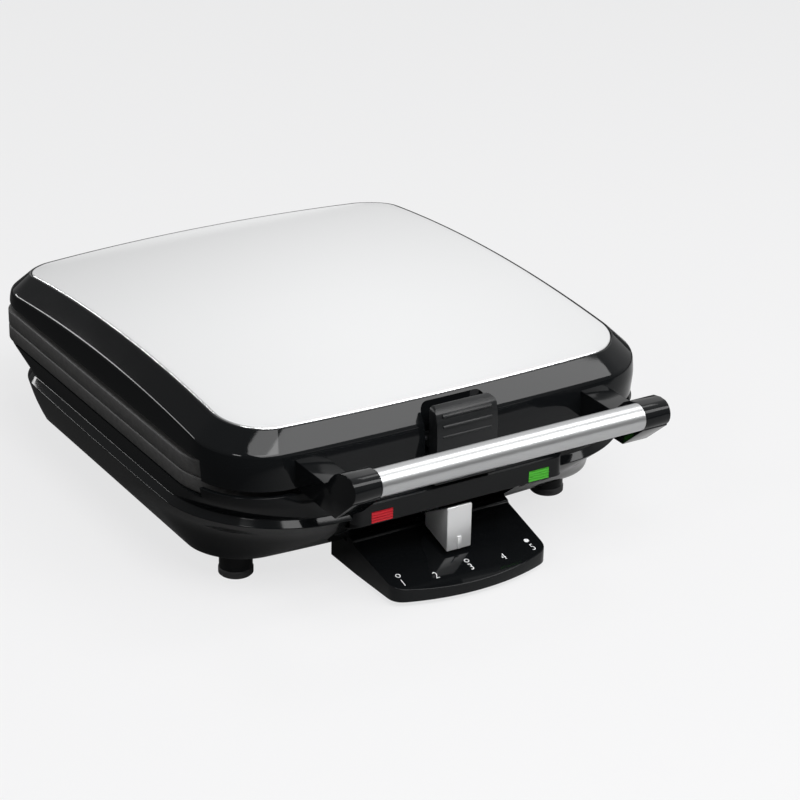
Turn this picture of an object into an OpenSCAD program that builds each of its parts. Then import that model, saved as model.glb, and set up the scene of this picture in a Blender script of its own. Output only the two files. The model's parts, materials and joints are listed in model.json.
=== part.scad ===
// Waffle maker for four waffles, closed and lying flat: a base with a heated
// plate, a hinged lid with its own plate and a steel cover, a bar handle, a
// sprung latch and a heat control that slides along a numbered console.
// The origin is on the worktop below the middle of the body. The handle and
// the controls face -Y and the hinge is at +Y.

/* [Body outline] */
// Width of the base at its widest edge
body_w = 265; // [262:0.5:268]
// Distance from the origin to the front of the widest edge, at the corners
body_front = 139.7; // [139:0.1:141]
// Distance from the origin to the rear of the upper casing wall, at the corners
body_rear = 137; // [136:0.5:138]
// Plan radius of the casing corners
corner_r = 34; // [33:0.5:36]
// How far the middle of the front and rear edges bows outwards
edge_bow = 6; // [5:0.2:6.4]
// Wall thickness of the casings
wall = 2.5; // [2.2:0.1:2.8]

/* [Heights] */
// Lower edge of the base casing above the worktop
base_bottom = 17.8; // [17.3:0.1:18.3]
// Widest edge of the base
base_edge = 47.8; // [46.8:0.1:48.3]
// Face where the two plates meet
parting = 68; // [66:0.1:72]
// Distance of the base wall's front rim below the parting face
rim_drop = 2.7; // [2.5:0.1:3.1]
// Distance of the lid wall's lower edge above the parting face
skirt_rise = 0.3; // [0.1:0.1:0.7]
// Rise from the parting face to the crease round the lid
crease_rise = 17.7; // [17.3:0.1:18.3]
// Rise from the parting face to the edge of the steel cover
cover_rise = 27.7; // [27.3:0.1:28.8]
// Rise of the cover towards its middle
cover_crown = 7.9; // [6:0.1:9]

/* [Cover] */
// Distance from the widest edge in to each side of the steel cover
cover_side = 17.7; // [17:0.1:19]
// Distance from the widest edge back to the front of the cover
cover_front_in = 14.9; // [14.2:0.1:16]
// Distance from the upper casing wall forward to the rear of the cover
cover_rear_in = 13.2; // [12:0.1:15]
// Thickness of the steel cover
cover_t = 1; // [0.8:0.1:1.2]

/* [Plates] */
// Distance from the widest edge in to each side of the cast plates
plate_side = 4.3; // [4.2:0.1:5]
// Distance from the widest edge back to the front of the plates
plate_front_in = 10.7; // [10.5:0.1:12]
// Distance from the upper casing wall forward to the rear of the plates
plate_rear_in = 11; // [10:0.5:12]
// Thickness of the flange of the lower plate
flange_lower = 8.4; // [8:0.1:8.5]
// Thickness of the flange of the upper plate
flange_upper = 8.9; // [8.6:0.1:9]
// Depth of the waffle pockets below the plate face
pocket_depth = 12.5; // [11:0.1:13]
// Distance of the peg tips below the plate face
peg_drop = 3.6; // [3.2:0.1:4]
// Pegs along each side of a waffle
pegs = 4; // [3:1:5]
// Gap between the two plate faces
plate_gap = 0.3; // [0.2:0.05:0.4]

/* [Handle] */
// Distance of the handle bar in front of the widest edge
bar_reach = 48; // [46.5:0.1:50]
// Height of the handle bar above the parting face
bar_rise = 21.2; // [20.3:0.1:22.3]
// Diameter of the handle bar
bar_d = 13.9; // [13:0.1:14.5]
// Distance from the widest edge in to the inner face of each handle arm
arm_side = 57; // [56:0.5:60]
// Thickness of each handle arm
arm_t = 15; // [14:0.2:15.4]

/* [Latch] */
// Width of the latch
latch_w = 35.4; // [33:0.2:36.4]
// Diameter of the latch pin
latch_pin_d = 3; // [2.6:0.1:3.4]

/* [Hinge] */
// Distance of the hinge axis behind the upper casing wall
hinge_back = 9.5; // [9.2:0.1:10]
// Distance of the hinge axis below the parting face
hinge_drop = 1.2; // [0.9:0.1:1.4]
// Diameter of the hinge pins
hinge_pin_d = 5; // [4.6:0.1:5.4]
// Radial running clearance on pins and shafts
running = 0.05; // [0.03:0.01:0.1]

/* [Heat control] */
// Distance of the lever axis behind the origin
lever_y = 60; // [56:0.5:62]
// Half width of the numbered console
console_half = 46.8; // [46:0.1:48]
// Width of the control knob
knob_w = 14.5; // [13.5:0.1:15.5]

/* [Feet] */
// Distance from the widest edge in to each front foot
foot_side = 37.5; // [36.5:0.5:40]
// Distance from the widest edge back to the front feet
foot_front_in = 53.9; // [53:0.1:55.5]
// Distance from the upper casing wall forward to the rear feet
foot_rear_in = 55; // [53:0.5:58]
// Diameter of the legs
leg_d = 17.2; // [16.2:0.2:18]

/* [Hidden] */
$fn = 48;
eps = 0.05;
seat = 0.05;
corner_steps = 7;
edge_steps = 5;

// Outlines: half width, front, rear, front radius, rear radius, front bow, rear bow, side bow
half_w = body_w / 2;
front = -body_front;
base_rim = parting - rim_drop;
lid_skirt = parting + skirt_rise;
lid_crease = parting + crease_rise;
cover_edge = parting + cover_rise;
bar_z = parting + bar_rise;
hinge_z = parting - hinge_drop;
plate_w = body_w - 2 * plate_side;
plate_front = body_front - plate_front_in;
plate_rear = body_rear - plate_rear_in;
bar_y = body_front + bar_reach;
hinge_y = body_rear + hinge_back;
foot_x = half_w - foot_side;
back_bow = edge_bow / 2;
wide = [half_w - 1.5, front, body_rear - 27, corner_r + 27, corner_r, edge_bow, 4, 1.5];
belly = [half_w - 5, front + 8.2, body_rear - 29, corner_r + 36, corner_r - 4, 1.5, 4, 0];
chin = [half_w - 9.9, front + 20.7, body_rear - 29, corner_r + 17, corner_r - 8, 2, 4, 0];
foot = [half_w - 14.5, front + 33.3, body_rear - 29, corner_r - 7.5, corner_r - 14, edge_bow, 4, 0];
above = [half_w - 4, front + 3.1, body_rear, corner_r + 10, corner_r, edge_bow, back_bow, 0];
rim = [half_w - 4.6, front + 4.7, body_rear, corner_r, corner_r, edge_bow, back_bow, 0];
skirt = [half_w - 5.7, front + 4.7, body_rear + 1.9, corner_r, corner_r, edge_bow, back_bow, 0];
crease = [half_w - 4.6, front + 4.9, body_rear + 1.2, corner_r, corner_r, edge_bow, back_bow, -2.3];
chin_z = base_bottom + 7.5;
belly_z = base_bottom + 17.5;
cover = [half_w - cover_side, front + cover_front_in, body_rear - cover_rear_in, 24, 17,
    edge_bow + 1, edge_bow + 2.3, 0];
seam = grow(cover, 1.1);
lid_side = lid_crease - 5.7;
crease_crown = cover_crown - 1.7;
tilt = 1.4;

// Plates
plate = [plate_w / 2, -plate_front, plate_rear, 42, 16];
lower_face = parting - plate_gap / 2;
upper_face = parting + plate_gap / 2;
lower_flange_z = lower_face - flange_lower;
upper_flange_z = upper_face + flange_upper;
pan_inset = 15;
pocket_inset = 11;
floor_t = 3;
lower_pan_z = lower_face - pocket_depth - floor_t;
upper_pan_z = upper_face + pocket_depth + floor_t;
ridge = 7;
screw_r = 1.6;
thread_gap = 0.02;

// Heating elements
element_r = 3.25;
element_half = 78;
element_turn = 36;
fuse_x = element_half - 44;

// Feet
foot_y = [front + foot_front_in, body_rear - foot_rear_in];
leg_points = [[foot_x, foot_y[0]], [-foot_x, foot_y[0]], [foot_x - 13, foot_y[1]],
    [-foot_x + 13, foot_y[1]]];
pad_h = 4;
cover_plate_t = 2;
screw_seat = pad_h + 5;

// Handle
bar_r = bar_d / 2;
spigot_r = bar_r - 1.2;
arm_in = half_w - arm_side;
arm_out = arm_in + arm_t;
arm_top = bar_z - 5.3;
arm_low = bar_z - 19.7;
end_round = 2;

// Latch
latch_half = latch_w / 2;
pocket_half = latch_half + 1.3;
latch_pivot = [front + 0.2, parting + 11.3];
pin_r = latch_pin_d / 2;

// Hinge
pin_half = hinge_pin_d / 2;
barrel_r = 5.6;
knuckle_in = 53;
knuckle_out = 73;
ear_t = 8;

// Control
scale_drop = 0.223;
console_low = 3;
console_under = front + 41.3;
scale_back = [front + 16.7, base_bottom + 0.8];
lever_z = base_bottom + 6.5;
lever_t = 2;
lever_hub_r = 9;
shaft_r = 3;
knob_front = front - 6;
knob_rear = front + 15;
slot_half = console_half - 3.3;
slot_z = [base_bottom + 3.1, base_edge - 10];
gland_z = base_bottom + 13.5;
gland_face = body_rear - 19;
boss_len = 17;
plate_screw = 7.5;
lamp_x = 46.25;
lens_half = 6.05;
cheek_in = console_half + 0.4;
lens_z = [base_edge - 3.7, base_edge + 2.1];
fascia_half = lamp_x + 15.65;
console_post = [30, front + 36.2];

function grow(o, d) = [o[0] + d, o[1] - d, o[2] + d, max(o[3] + d, 1), max(o[4] + d, 1), o[5], o[6], o[7]];

function sides(o, q) = (q == 0 || q == 3) ? 1 : -1;
function radius(o, q) = q < 2 ? o[4] : o[3];
function centre(o, q) = [sides(o, q) * (o[0] - radius(o, q)), q < 2 ? o[2] - o[4] : o[1] + o[3]];
function arc_point(o, q, a) = centre(o, q) + radius(o, q) * [cos(a), sin(a)];
// Plan of a rounded rectangle, corner by corner, with points along its edges
function straight_plan(o) = [for (q = [0:3]) let (
        end = arc_point(o, q, 90 * q + 90),
        next = arc_point(o, (q + 1) % 4, 90 * q + 90))
    for (i = [0:corner_steps + edge_steps - 1]) i <= corner_steps
        ? arc_point(o, q, 90 * q + 90 * i / corner_steps)
        : end + (next - end) * (i - corner_steps) / edge_steps];
function clip(v) = max(0, min(1, v));
function mid_y(o) = (o[1] + o[2]) / 2;
function half_y(o) = (o[2] - o[1]) / 2;
// The same plan with its edges bowed: front by o[5], rear by o[6], sides by o[7]
function bowed(o, p) = let (u = p[0] / o[0], v = (p[1] - mid_y(o)) / half_y(o))
    [p[0] + o[7] * (1 - v * v) * u,
     p[1] - o[5] * (1 - u * u) * clip(-v) + o[6] * (1 - u * u) * clip(v)];
function plan(o) = [for (p = straight_plan(o)) bowed(o, p)];
// Screw places in the corners of a plate's flange
plate_posts = [for (q = [0:3]) centre(plate, q)
    + (radius(plate, q) - 6) * [cos(90 * q + 45), sin(90 * q + 45)]];
function scaled(o, s) = [for (p = plan(o)) [p[0] * s, mid_y(o) + (p[1] - mid_y(o)) * s]];
// Height over the lid: crown along Y, slight crown across X, front higher by the tilt
function arch(o, p, z, rise, lean, across) = let (v = (p[1] - mid_y(o)) / half_y(o))
    z + rise * (1 - clip(v * v)) - lean * v + across * (1 - pow(p[0] / o[0], 2));
function level(o, z) = [for (p = plan(o)) [p[0], p[1], z]];
function arched(o, z, rise = 0, lean = 0, across = 0, s = 1) =
    [for (p = scaled(o, s)) [p[0], p[1], arch(o, p, z, rise, lean, across)]];
function middle(r) = [0, (min([for (p = r) p[1]]) + max([for (p = r) p[1]])) / 2];

// Solid through a stack of rings of equal length, closed by a fan at each end
module loft(rings, low = undef, high = undef) {
    n = len(rings[0]);
    k = len(rings);
    first = rings[0];
    last = rings[k - 1];
    zl = is_undef(low) ? first[0][2] : low;
    zh = is_undef(high) ? last[0][2] : high;
    points = concat([for (r = rings) each r], [[0, middle(first)[1], zl], [0, middle(last)[1], zh]]);
    faces = concat(
        [for (i = [0:n - 1]) [n * k, i, (i + 1) % n]],
        [for (j = [0:k - 2], i = [0:n - 1]) each [
            [j * n + i, (j + 1) * n + i, (j + 1) * n + (i + 1) % n],
            [j * n + i, (j + 1) * n + (i + 1) % n, j * n + (i + 1) % n]]],
        [for (i = [0:n - 1]) [n * k + 1, (k - 1) * n + (i + 1) % n, (k - 1) * n + i]]);
    polyhedron(points = points, faces = faces, convexity = 6);
}

// Flat rounded rectangle with true arcs: o as an outline without bows
module rounded(o) {
    for (q = [0:3]) translate(centre(o, q)) circle(radius(o, q));
    translate([-o[0] + o[3], o[1]]) square([2 * (o[0] - o[3]), o[3] + eps]);
    translate([-o[0] + o[4], o[2] - o[4] - eps]) square([2 * (o[0] - o[4]), o[4] + eps]);
    translate([-o[0], o[1] + o[3]]) square([2 * o[0], o[2] - o[4] - o[1] - o[3]]);
}

module slab(o, z0, z1) {
    translate([0, 0, z0]) linear_extrude(z1 - z0) rounded(o);
}

module box(x0, x1, y0, y1, z0, z1) {
    translate([x0, y0, z0]) cube([x1 - x0, y1 - y0, z1 - z0]);
}

// Cylinder along X between two planes
module rod_x(x0, x1, y, z, r) {
    translate([x0, y, z]) rotate([0, 90, 0]) cylinder(h = x1 - x0, r = r);
}

module rod_y(x, y0, y1, z, r) {
    translate([x, y0, z]) rotate([-90, 0, 0]) cylinder(h = y1 - y0, r = r);
}

module post(p, z0, z1, r) {
    translate([p[0], p[1], z0]) cylinder(h = z1 - z0, r = r);
}

// Moves a profile to the front of the widest edge, at height z
module at_front(z) {
    translate([0, front, z]) children();
}

// Profile in Y and Z, extruded along X
module along_x(x0, x1) {
    translate([x0, 0, 0]) rotate([90, 0, 90]) linear_extrude(x1 - x0) children();
}

// ---- Base ----

module base_solid(d = 0) {
    loft([level(grow(foot, d), base_bottom - (d > 0 ? d : 0)),
        level(grow(chin, d), chin_z),
        level(grow(belly, d), belly_z),
        level(grow(wide, d - 0.8), base_edge - 1.6),
        level(grow(wide, d), base_edge),
        level(grow(above, d), base_edge + 3),
        level(grow(above, d), lower_flange_z - 0.3),
        level(grow(rim, d), base_rim)]);
}

module base_void() {
    loft([level(grow(foot, -wall), base_bottom - 1),
        level(grow(foot, -wall), base_bottom + 0.5),
        level(grow(chin, -wall), chin_z + 1),
        level(grow(belly, -wall), belly_z + 1),
        level(grow(wide, -wall - 0.8), base_edge - 1),
        level(grow(above, -wall), base_edge + 2.5),
        level(grow(above, -wall), lower_flange_z - 0.3),
        level(grow(rim, -wall), base_rim + 1)]);
}

// Plan region behind the front apron, where the plates show at the sides
module side_notch(z0, z1) {
    for (s = [-1, 1]) box(s > 0 ? half_w - 20.5 : -half_w - 20, s > 0 ? half_w + 20 : 20.5 - half_w,
        -plate_front + 20, plate_rear + 3.5, z0, z1);
}

// Boss tied to the nearest corner of the shell by a rib
module ribbed_boss(p, z0, z1, r, reach) {
    post(p, z0, z1, r);
    translate([p[0], p[1], z0]) rotate([0, 0, atan2(p[1], p[0])])
        translate([0, -1.5, 0]) cube([reach, 3, z1 - z0]);
}

module hinge_ear(s, x0) {
    rod_x(s > 0 ? x0 : -x0 - ear_t, s > 0 ? x0 + ear_t : -x0, hinge_y, hinge_z, barrel_r);
    along_x(s > 0 ? x0 : -x0 - ear_t, s > 0 ? x0 + ear_t : -x0)
        polygon([[hinge_y - 9, hinge_z - 15], [hinge_y - 5, hinge_z - 14],
            [hinge_y + barrel_r, hinge_z - 2], [hinge_y + barrel_r, hinge_z], [hinge_y - 2, hinge_z],
            [hinge_y - 2, hinge_z - 2.5], [hinge_y - 9, hinge_z - 2.5]]);
}

module lever_slot() {
    box(-slot_half, slot_half, front + 3.7, front + 30.7, slot_z[0], slot_z[1]);
}

module base_housing() {
    color("#161718") difference() {
        union() {
            difference() {
                base_solid();
                base_void();
            }
            intersection() {
                base_solid(-0.3);
                union() {
                    for (p = plate_posts) ribbed_boss(p, base_edge - 11.8, lower_flange_z - seat, 4.6, 16);
                    for (p = leg_points) ribbed_boss(p, base_bottom + cover_plate_t + 0.4,
                        base_bottom + 17, 6.5, 34);
                }
            }
            for (s = [-1, 1]) {
                hinge_ear(s, knuckle_in - ear_t - 0.4);
                hinge_ear(s, knuckle_out + 0.4);
            }
            rod_y(0, gland_face - boss_len, gland_face, gland_z, 11);
            // Keeper that the latch hooks under
            at_front(parting) along_x(-13, 13)
                polygon([[0.2, -7.9], [-5.9, -7.1], [-5.9, -5.5], [0.2, -3.3]]);
        }
        side_notch(lower_flange_z - seat, parting + 12);
        for (s = [-1, 1]) {
            rod_x(s > 0 ? 38 : -90, s > 0 ? 90 : -38, hinge_y, hinge_z, pin_half);
            rod_x(s > 0 ? knuckle_in - 0.4 : -knuckle_out - 0.4,
                s > 0 ? knuckle_out + 0.4 : -knuckle_in + 0.4, hinge_y, hinge_z, barrel_r + 0.8);
        }
        for (p = plate_posts) post(p, lower_flange_z - plate_screw - 0.3, lower_flange_z + 1,
            screw_r + thread_gap);
        for (p = leg_points) post(p, base_bottom, base_bottom + 13.5, screw_r + thread_gap);
        rod_y(0, gland_face - boss_len - 5, gland_face + 5, gland_z, 6.5);
        lever_slot();
        for (s = [-1, 1]) box(s * lamp_x - lens_half - 0.1, s * lamp_x + lens_half + 0.1,
            front - 10, front + 12, lens_z[0] - 0.1, lens_z[1] + 0.1);
    }
}

module bottom_cover() {
    o = grow(foot, -wall - 0.4);
    color("#26282a") difference() {
        union() {
            loft([level(o, base_bottom + 0.3), level(o, base_bottom + 0.3 + cover_plate_t)]);
            for (s = [-1, 1]) post([s * console_post[0], console_post[1]],
                base_bottom + 0.5, lever_z - 1.4, 4);
        }
        for (p = leg_points) post(p, base_bottom - 1, base_bottom + 8, screw_r + 0.3);
        for (s = [-1, 1]) post([s * console_post[0], console_post[1]],
            base_bottom - 2, base_bottom + 8, screw_r + thread_gap);
        for (i = [-3:3]) for (y = [-30, 30]) box(i * 12 - 2, i * 12 + 2, y - 16, y + 16,
            base_bottom - 2, base_bottom + 8);
    }
}

module legs() {
    color("#141516") for (p = leg_points) difference() {
        union() {
            post(p, pad_h + 0.02, base_bottom + 0.25, leg_d / 2);
            post(p, pad_h - 1.5, pad_h + 0.1, leg_d / 2 - 2);
        }
        post(p, 0, base_bottom + 1, screw_r + 0.3);
        post(p, 0, screw_seat, 4.2);
    }
}

module rubber_feet() {
    color("#1d1d1e") for (p = leg_points) difference() {
        translate([p[0], p[1], 0]) rotate_extrude() polygon([[0, 0], [leg_d / 2 - 0.2, 0],
            [leg_d / 2 + 0.4, 0.6], [leg_d / 2 + 0.4, pad_h - 0.6], [leg_d / 2 - 0.2, pad_h], [0, pad_h]]);
        post(p, pad_h - 1.6, pad_h + 1, leg_d / 2 - 1.95);
    }
}

module screw(p, z0, z1, r, head_z0, head_z1, head_r) {
    post(p, z0, z1, r);
    post(p, head_z0, head_z1, head_r);
}

module leg_screws() {
    color("#b9bcbf") for (p = leg_points) screw(p, screw_seat - 0.1, base_bottom + 12.5,
        screw_r, screw_seat - 2.6, screw_seat, 3.6);
}

// Cast plate with four waffle pockets, its pegs standing between tapered
// grooves: flange thickness as given, face upwards
module waffle_pocket(x0, x1, y0, y1) {
    top = 14;
    bottom = 7;
    step_x = (x1 - x0 - top) / pegs;
    step_y = (y1 - y0 - top) / pegs;
    inner = (top - bottom) / 2;
    zf = lower_face + eps;
    zb = lower_face - pocket_depth;
    groove = [[-top / 2, zf], [top / 2, zf], [bottom / 2, zb], [-bottom / 2, zb]];
    box(x0 + top / 2, x1 - top / 2, y0 + top / 2, y1 - top / 2, lower_face - peg_drop, zf);
    for (k = [0:pegs]) {
        translate([0, y0 + top / 2 + k * step_y, 0]) along_x(x0 + inner, x1 - inner) polygon(groove);
        translate([x0 + top / 2 + k * step_x, y1 - inner, 0]) rotate([90, 0, 0])
            linear_extrude(y1 - y0 - 2 * inner) polygon(groove);
    }
}

module waffle_plate(flange) {
    o = grow(plate, -pocket_inset);
    y_mid = mid_y(plate);
    difference() {
        union() {
            slab(plate, lower_face - flange, lower_face);
            slab(grow(plate, -pan_inset), lower_pan_z, lower_face - 1);
        }
        intersection() {
            slab(o, lower_pan_z + floor_t - 1, lower_face + 1);
            for (s = [-1, 1], t = [-1, 1]) waffle_pocket(
                s > 0 ? ridge / 2 : -o[0], s > 0 ? o[0] : -ridge / 2,
                t > 0 ? y_mid + ridge / 2 : o[1], t > 0 ? o[2] : y_mid - ridge / 2);
        }
        for (p = plate_posts) {
            post(p, 0, 100, screw_r + 0.2);
            post(p, lower_face - 2.7, 100, 3.1);
        }
    }
}

// Mirrors a piece of the base plate stack into the lid
module upside() {
    translate([0, 0, 2 * parting]) mirror([0, 0, 1]) children();
}

module lower_plate() {
    color("#3b3a38") waffle_plate(flange_lower);
}

module upper_plate() {
    color("#3b3a38") upside() waffle_plate(flange_upper);
}

module plate_screw_set(flange) {
    for (p = plate_posts) screw(p, lower_face - flange - plate_screw, lower_face - 2.6, screw_r,
        lower_face - 2.65, lower_face - 0.6, 2.9);
}

module lower_plate_screws() {
    color("#b9bcbf") plate_screw_set(flange_lower);
}

module upper_plate_screws() {
    color("#b9bcbf") upside() plate_screw_set(flange_upper);
}

// Tubular element: an open loop below the pan, its two ends turned to the rear
module element() {
    z = lower_pan_z - element_r - seat;
    y0 = mid_y(plate);
    straight = element_half - element_turn;
    end_x = 22;
    end_r = 10;
    translate([0, y0, z]) {
        for (s = [-1, 1]) {
            rod_y(s * element_half, -straight, straight, 0, element_r);
            rod_x(s > 0 ? end_x : -straight, s > 0 ? straight : -end_x, element_half, 0, element_r);
            rod_y(s * (end_x - end_r), element_half + end_r, element_half + end_r + 12, 0, 1.5);
        }
        rod_x(-straight, straight, -element_half, 0, element_r);
        for (q = [0:3]) translate([sides(plate, q) * straight, (q < 2 ? 1 : -1) * straight, 0])
            rotate([0, 0, 90 * q]) rotate_extrude(angle = 90)
                translate([element_turn, 0]) circle(element_r);
        translate([end_x, element_half + end_r, 0]) rotate([0, 0, 180]) rotate_extrude(angle = 90)
            translate([end_r, 0]) circle(element_r);
        translate([-end_x, element_half + end_r, 0]) rotate([0, 0, 270]) rotate_extrude(angle = 90)
            translate([end_r, 0]) circle(element_r);
    }
}

module lower_element() {
    color("#6d6a66") element();
}

module upper_element() {
    color("#6d6a66") upside() element();
}

// Sheet tray that closes the heater in and reflects its heat
tray = [element_half + 20, mid_y(plate) - element_half - 21, mid_y(plate) + element_half + 21, 14, 14];
module reflector(depth) {
    t = 0.8;
    z0 = lower_pan_z - depth;
    difference() {
        slab(tray, z0, lower_pan_z - seat);
        slab(grow(tray, -t), z0 + t, lower_pan_z + 1);
        box(-20, 20, tray[2] - 3, tray[2] + 3, z0 + t + 1, lower_pan_z + 1);
    }
}
lower_tray = 14;
upper_tray = 10.5;
tray_z = lower_pan_z - lower_tray;

module lower_reflector() {
    color("#c9cccf") reflector(lower_tray);
}

module upper_reflector() {
    color("#c9cccf") upside() reflector(upper_tray);
}

// Thermostat body under the tray, with a socket for its spindle
module thermostat() {
    color("#d8d2c4") difference() {
        post([0, lever_y], lever_z + 5, tray_z - seat, 12);
        post([0, lever_y], lever_z + 4, tray_z - 2, shaft_r + running);
    }
}

module control_spindle() {
    color("#c4c7ca") {
        post([0, lever_y], base_bottom + cover_plate_t + 0.6, tray_z - 2.3, shaft_r);
        post([0, lever_y], base_bottom + cover_plate_t + 0.6, lever_z - 1.4, shaft_r + 2);
    }
}

module thermal_fuse() {
    color("#d9d9d6") {
        rod_x(fuse_x, fuse_x + 24, mid_y(plate), tray_z - 4 - seat, 4);
        rod_x(fuse_x - 6, fuse_x + 30, mid_y(plate), tray_z - 4 - seat, 1);
    }
}

module terminal_block() {
    z0 = base_bottom + 0.3 + cover_plate_t + seat;
    color("#e6e0d2") difference() {
        box(-18, 18, gland_face - 44, gland_face - 30, z0, z0 + 11);
        for (x = [-12, 0, 12]) {
            rod_y(x, gland_face - 48, gland_face - 26, z0 + 5, 2);
            post([x, gland_face - 37], z0 + 5, z0 + 12, 1.8);
        }
    }
}

module cord_gland() {
    color("#1b1b1c") difference() {
        union() {
            rod_y(0, gland_face - boss_len - 2.4, gland_face + 2.6, gland_z, 6.4);
            rod_y(0, gland_face + seat, gland_face + 2.6, gland_z, 9.5);
            rod_y(0, gland_face - boss_len - 2.4, gland_face - boss_len - seat, gland_z, 9);
        }
        rod_y(0, gland_face - boss_len - 5, gland_face + 5, gland_z, 3.8);
    }
}

// Strip over the middle of the shoulder, with a visor above the control
module fascia() {
    color("#151617") difference() {
        intersection() {
            slab([fascia_half, front - 7.2, front + 29.7, 5, 1], base_bottom, base_rim);
            at_front(base_edge) {
                along_x(-fascia_half, fascia_half) polygon([[-7.3, -4.4], [-7.3, 5.9], [-6.5, 6.7],
                    [1.7, 7.7], [6.7, 7.7], [6.7, -9.8], [5.2, -9]]);
                for (s = [-1, 1]) along_x(s > 0 ? cheek_in : -fascia_half, s > 0 ? fascia_half : -cheek_in)
                    polygon([[-7.3, -3.4], [6.7, -3.4], [19.7, -11.8], [26.7, -19.8], [21.7, -20.4],
                        [12.7, -17.2]]);
            }
        }
        base_solid(eps);
        for (s = [-1, 1]) box(s * lamp_x - lens_half - 0.05, s * lamp_x + lens_half + 0.05,
            front - 10, front + 12, lens_z[0] - 0.05, lens_z[1] + 0.05);
    }
}

module lens(s) {
    box(s * lamp_x - lens_half, s * lamp_x + lens_half, front - 7.5, front - 0.5, lens_z[0], lens_z[1]);
}

module red_lens() {
    color("#c2303a") lens(-1);
}

module green_lens() {
    color("#3f8f5b") lens(1);
}

module indicator_lamps() {
    color("#e8e3da") for (s = [-1, 1])
        rod_y(s * lamp_x, front - 0.4, front + 15.7, (lens_z[0] + lens_z[1]) / 2, 2.3);
}

// Console in front of and below the base, with the numbered scale on top
module console_form(d) {
    intersection() {
        linear_extrude(56) intersection() {
            polygon([[-console_half + d, console_under - d], [-console_half + d, scale_back[0]],
                [-console_half + 1.6 + d, front - 30.3], [console_half - 1.6 - d, front - 30.3],
                [console_half - d, scale_back[0]], [console_half - d, console_under - d]]);
            translate([0, front + 90.3]) circle(118 - d, $fn = 96);
        }
        translate([0, scale_back[0], 0]) along_x(-console_half, console_half) polygon([
            [25, console_low - d], [-49, console_low - d],
            [-49, scale_back[1] - scale_drop * 49 - d], [0, scale_back[1] - d],
            [3.5, scale_back[1] + 1.9 - d], [6.5, scale_back[1] + 3.1 - d],
            [25, scale_back[1] + 3.1 - d]]);
    }
}

module control_console() {
    color("#17181a") difference() {
        union() {
            difference() {
                console_form(0);
                console_form(2.2);
            }
            intersection() {
                console_form(1);
                union() {
                    for (x = [-22, 0, 22]) box(x - 1, x + 1, front - 30.3, console_under - 0.2,
                        console_low, 40);
                    box(-console_half, console_half, front + 8.7, front + 10.7, console_low, 40);
                    for (s = [-1, 1]) post([s * console_post[0], console_post[1]], console_low, 40, 4.6);
                }
            }
        }
        base_solid(eps);
        box(-console_half - 1, console_half + 1, front + 25.7, front + 50, base_bottom - eps, 40);
        for (s = [-1, 1]) {
            post([s * console_post[0], console_post[1]], 0, 30, screw_r + 0.2);
            post([s * console_post[0], console_post[1]], 0, console_low + 4, 3.3);
        }
    }
}

module console_screws() {
    color("#b9bcbf") for (s = [-1, 1])
        screw([s * console_post[0], console_post[1]], console_low + 3.9, lever_z - 2, screw_r,
            console_low + 1.6, console_low + 3.95, 3.1);
}

// Arm from the thermostat shaft through the slot to the knob
module control_lever() {
    color("#a9abad") difference() {
        union() {
            post([0, lever_y], lever_z - 1.3, lever_z + 4.4, lever_hub_r);
            box(-4, 4, knob_rear - 1.5, lever_y, lever_z, lever_z + lever_t);
            box(-3, 3, knob_rear - 12, knob_rear, lever_z, lever_z + lever_t);
        }
        post([0, lever_y], 0, 60, shaft_r + thread_gap);
    }
}

module control_knob() {
    h = knob_w / 2;
    color("#b4b6b8") difference() {
        union() {
            at_front(lever_z) along_x(-h, h) polygon([[-6, -8.4], [-6, 15.6], [-5.2, 16.2], [13.7, 5.4],
                [15, 4.2], [15, -2], [14.3, -2.8]]);
            box(-1.2, 1.2, knob_front - 0.7, knob_front + 1, lever_z - 8, lever_z - 1);
            rod_y(0, knob_front - 0.7, knob_front + 1, lever_z - 1, 1.2);
        }
        box(-3 - thread_gap, 3 + thread_gap, knob_rear - 12.2, knob_rear + 1,
            lever_z - thread_gap, lever_z + lever_t + thread_gap);
        box(-4 - thread_gap, 4 + thread_gap, knob_rear - 1.6, knob_rear + 1,
            lever_z - thread_gap, lever_z + lever_t + thread_gap);
    }
}

module hinge_pins() {
    color("#c4c7ca") for (s = [-1, 1]) {
        x0 = knuckle_in - ear_t - 0.4;
        x1 = knuckle_out + ear_t + 0.4;
        rod_x(s > 0 ? x0 : -x1, s > 0 ? x1 : -x0, hinge_y, hinge_z, pin_half - thread_gap);
        rod_x(s > 0 ? x1 + seat : -x1 - 1.6, s > 0 ? x1 + 1.6 : -x1 - seat, hinge_y, hinge_z, 3.9);
        rod_x(s > 0 ? x1 - 1 : -x1 - 1, s > 0 ? x1 + 1 : -x1 + 1, hinge_y, hinge_z, pin_half - thread_gap);
    }
}

// ---- Lid ----

module lid_solid(d = 0) {
    loft([level(grow(skirt, d), lid_skirt - d),
        level(grow(skirt, d + 1), lid_side),
        arched(grow(crease, d), lid_crease - 1.4, crease_crown, tilt),
        arched(grow(crease, d - 0.9), lid_crease + 0.6, crease_crown, tilt),
        arched(grow(seam, d), cover_edge - 0.4, cover_crown, tilt, 1)],
        high = cover_edge + cover_crown);
}

module lid_void() {
    loft([level(grow(skirt, -wall), lid_skirt - 1),
        level(grow(skirt, -wall + 1), lid_side),
        arched(grow(crease, -wall), lid_crease - 2, crease_crown, tilt),
        arched(grow(cover, -1.6), cover_edge - 4.6, cover_crown, tilt, 1)],
        high = cover_edge + cover_crown - 5);
}

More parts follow.
